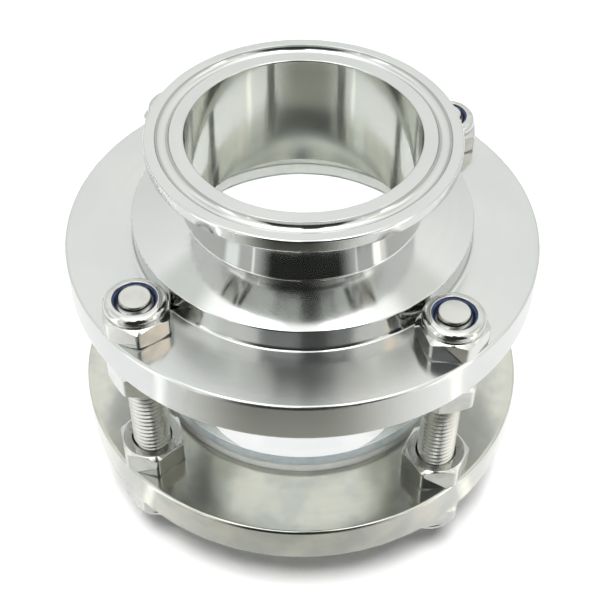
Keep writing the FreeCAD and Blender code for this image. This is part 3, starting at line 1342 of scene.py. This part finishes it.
@dataclass
class Studio:
    """White floor, soft lights and the camera. Sizes in metres."""

    focal_px: float = 1243.5
    image_px: float = 600.0
    camera_azimuth: float = 2.8
    camera_distance: float = 0.19557
    camera_height: float = 0.25663
    camera_pitch: float = -46.19
    camera_yaw: float = 0.12
    camera_roll: float = 0.53
    floor_colour: Colour = (0.97, 0.97, 0.97)
    floor_shine: float = 0.88
    floor_half: float = 3.0
    floor_drop: float = 0.0002
    lamp_radius: float = 0.0236
    lamp_drop: float = 0.0001
    lamp_chords: int = 64
    room_colour: Colour = (0.985, 1.0, 0.985)
    room_peak: float = 1.75
    room_fill: float = 0.02
    room_tones: tuple[tuple[float, float], ...] = (
        (0.0, 0.90), (0.34, 1.00), (0.64, 1.15), (0.82, 1.25), (0.94, 1.69), (1.0, 1.75)
    )

    def build(self) -> None:
        """Makes everything round the object."""
        self.room()
        self.floor()
        for card in self.cards():
            card.hang()
        for card in self.floor_cards():
            card.lay()
        self.floor_lamp()
        self.camera()

    def room(self) -> None:
        """Even pale light from all round, a little brighter from the ceiling."""
        world = bpy.data.worlds.new("white_room")
        world.use_nodes = True
        kit = NodeKit(world.node_tree)
        ramp = kit.node("ShaderNodeValToRGB", {"Fac": kit.axes(kit.place("Generated"))["Z"]})
        stops = ramp.color_ramp.elements
        while len(stops) < len(self.room_tones):
            stops.new(position=0.5)
        for stop, (height, tone) in zip(stops, self.room_tones):
            stop.position = height
            stop.color = (*(c * tone / self.room_peak for c in self.room_colour), 1.0)
        ray = kit.node("ShaderNodeLightPath").outputs
        mirrored = kit.math("MAXIMUM", ray["Is Glossy Ray"], ray["Is Transmission Ray"])
        seen = kit.math("MAXIMUM", mirrored, ray["Is Camera Ray"])
        white = (1 / self.room_peak,) * 3
        light = kit.tree.nodes["Background"].inputs
        kit.feed(light["Color"], kit.blend(ray["Is Camera Ray"], ramp.outputs["Color"], white))
        kit.feed(light["Strength"], kit.ranged(seen, self.room_peak * self.room_fill, self.room_peak))
        bpy.context.scene.world = world

    def floor(self) -> None:
        """Plain white floor that takes the object's shadow."""
        half = self.floor_half
        corners = [(-half, -half, 0), (half, -half, 0), (half, half, 0), (-half, half, 0)]
        white = stage_material("white_floor", self.floor_shader)
        floor = mesh_object("floor", corners, [(0, 1, 2, 3)], white)
        floor.location.z = -self.floor_drop

    def floor_shader(self, kit: NodeKit) -> Node:
        """Wires the floor's dull white, which shows a little darker in shiny surfaces.

        Args:
            kit: takes the nodes.

        Returns:
            The shader.
        """
        mirrored = kit.node("ShaderNodeLightPath").outputs["Is Glossy Ray"]
        dimmed = tuple(c * self.floor_shine for c in self.floor_colour)
        return kit.node("ShaderNodeBsdfDiffuse", {"Color": kit.blend(mirrored, self.floor_colour, dimmed)})

    def floor_lamp(self) -> None:
        """Small bright disc let into the floor, which lights the bore from below."""
        turns = full_turn(self.lamp_chords)
        rim = [Vector((math.cos(turn), math.sin(turn), 0)) * self.lamp_radius for turn in turns]
        glow = stage_material("floor_lamp", lambda kit: kit.node("ShaderNodeEmission"))
        lamp = mesh_object("floor_lamp", rim, [range(self.lamp_chords)], glow)
        lamp.location.z = -self.lamp_drop

    def cards(self) -> list[Card]:
        """The cards and lamp panels that hang round the object.

        Returns:
            Each card.
        """
        return [
            Card("black_front_card", (-38.0, 49.0), (-8.0, 48.0), (0.035, 0.038, 0.035), 17.0, 8.0, 1.00),
            Card("black_upper_card", (-1.0, 27.0), (40.0, 76.0), (0.05, 0.055, 0.06), 6.0, 8.0, 1.05),
            Card("grey_upper_card", (-29.0, 41.0), (38.0, 60.0), (0.15, 0.17, 0.18), 7.0, 4.0, 1.10),
            Card("front_ceiling_panel", (-64.0, 62.0), (63.0, 77.0), (3.6, 3.65, 3.6), 10.0, 4.0, 1.18),
            Card("warm_card", (60.0, 71.0), (46.5, 53.5), (2.50, 1.96, 1.38), 3.0, 2.0, 1.12),
            Card("left_strip_panel", (-66.0, -48.5), (-8.0, 50.0), (1.75, 1.82, 1.82), 5.0, 6.0, 1.15),
            Card("right_strip_panel", (64.0, 79.0), (-8.0, 50.0), (1.65, 1.62, 1.56), 5.0, 6.0, 1.15),
            Card("right_neck_strip", (62.0, 72.5), (-8.0, 30.0), (2.7, 2.7, 2.6), 3.0, 6.0, 1.14),
            Card("right_neck_line", (46.5, 49.5), (-8.0, 30.0), (1.6, 1.6, 1.65), 1.2, 6.0, 0.99),
            Card("left_neck_line", (-39.5, -36.0), (-8.0, 30.0), (1.8, 1.8, 1.85), 1.2, 6.0, 0.99),
            Card("left_side_panel", (-104.0, -60.0), (26.0, 54.0), (1.33, 1.35, 1.33), 12.0, 8.0, 1.20),
            Card("right_side_panel", (70.0, 106.0), (26.0, 54.0), (1.55, 1.55, 1.50), 12.0, 8.0, 1.20),
            Card("side_grey_left", (-145.0, -75.0), (50.0, 68.0), (0.92, 0.95, 0.92), 14.0, 6.0, 1.22),
            Card("side_grey_right", (75.0, 145.0), (50.0, 68.0), (0.96, 0.97, 0.93), 14.0, 6.0, 1.22),
            Card("left_top_box", (-150.0, -55.0), (71.0, 86.0), (4.40, 4.50, 4.45), 14.0, 4.0, 1.25),
            Card("right_top_box", (55.0, 150.0), (71.0, 86.0), (4.50, 4.50, 4.40), 14.0, 4.0, 1.25),
            Card("key_lamp", (-21.0, 21.0), (60.0, 74.0), (72.0, 72.0, 72.0), 8.0, 3.0, 6.0, Surface.DULL),
            Card("back_lamp", (150.0, 210.0), (50.0, 77.0), (9.0, 9.2, 9.3), 8.0, 4.0, 6.1, Surface.DULL),
            Card("low_lamp", (-80.0, 80.0), (1.0, 9.0), (5.6, 5.6, 5.6), 20.0, 2.5, 6.2, Surface.DULL),
        ]

    def floor_cards(self) -> list[Card]:
        """Grey and dark cards on the floor in front of the object, seen only in shiny surfaces, the panels'
        glare on the floor and the lamp under the bore.

        Returns:
            Each card.
        """
        return [
            # darker floor in front of the object, seen only in reflections and through the glass
            Card("grey_front_floor_card", (-66.0, 62.0), (0.046, 0.30), (0.50, 0.50, 0.44), 50.0, 0.05, 0.0),
            Card("dark_front_floor_card", (-42.0, 36.0), (0.085, 1.00), (0.06, 0.06, 0.055), 30.0, 0.06, 0.0004),
            Card("left_floor_glare", (-56.5, -49.5), (0.05, 0.40), (1.70, 1.72, 1.70), 3.0, 0.02, 0.0008),
            Card("right_floor_glare", (61.5, 69.5), (0.05, 0.40), (1.70, 1.70, 1.62), 3.0, 0.02, 0.0008),
            Card("left_neck_glare", (-72.0, -49.0), (0.145, 1.20), (2.30, 2.34, 2.34), 5.0, 0.03, 0.0010),
            Card("right_neck_glare", (49.0, 74.0), (0.145, 1.20), (2.30, 2.32, 2.28), 5.0, 0.03, 0.0010),
            Card(
                "bore_lamp", (-190.0, 190.0), (0.0, 0.023), (12.0, 12.0, 11.6), 20.0, 0.001, 0.0002,
                Surface.DULL,
            ),
        ]

    def camera(self) -> None:
        """Sets the camera where the photograph was taken from."""
        data = bpy.data.cameras.new("camera")
        data.sensor_width = 36.0
        data.lens = self.focal_px / self.image_px * data.sensor_width
        data.clip_start = 0.01
        data.clip_end = 20.0
        camera = bpy.data.objects.new("camera", data)
        turn = math.radians(self.camera_azimuth)
        place = Vector((math.sin(turn), -math.cos(turn), 0)) * self.camera_distance
        camera.location = place + Vector((0, 0, self.camera_height))
        heading = Matrix.Rotation(turn + math.radians(self.camera_yaw), 4, "Z")
        pitch = Matrix.Rotation(math.radians(90 + self.camera_pitch), 4, "X")
        roll = Matrix.Rotation(math.radians(self.camera_roll), 4, "Z")
        camera.rotation_euler = (heading @ pitch @ roll).to_euler()
        bpy.context.scene.collection.objects.link(camera)
        bpy.context.scene.camera = camera


def main() -> None:
    """Builds the object and the studio, and reports each piece."""
    logging.basicConfig(level=logging.INFO, format="%(message)s")
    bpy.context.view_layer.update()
    bpy.context.scene.view_settings.view_transform = "Standard"
    finishes = Finishes.make()
    rods = [TieRod(number) for number in (1, 2, 3, 4)]
    for rod in rods:
        rod.build(finishes)
    centres = [rod.centre() for rod in rods]
    for end in End:
        ClampEnd(end).build(finishes, centres)
    SightTube().build(finishes)
    Studio().build()
    log.info("all pieces are in place")


if __name__ == "__main__":
    main()
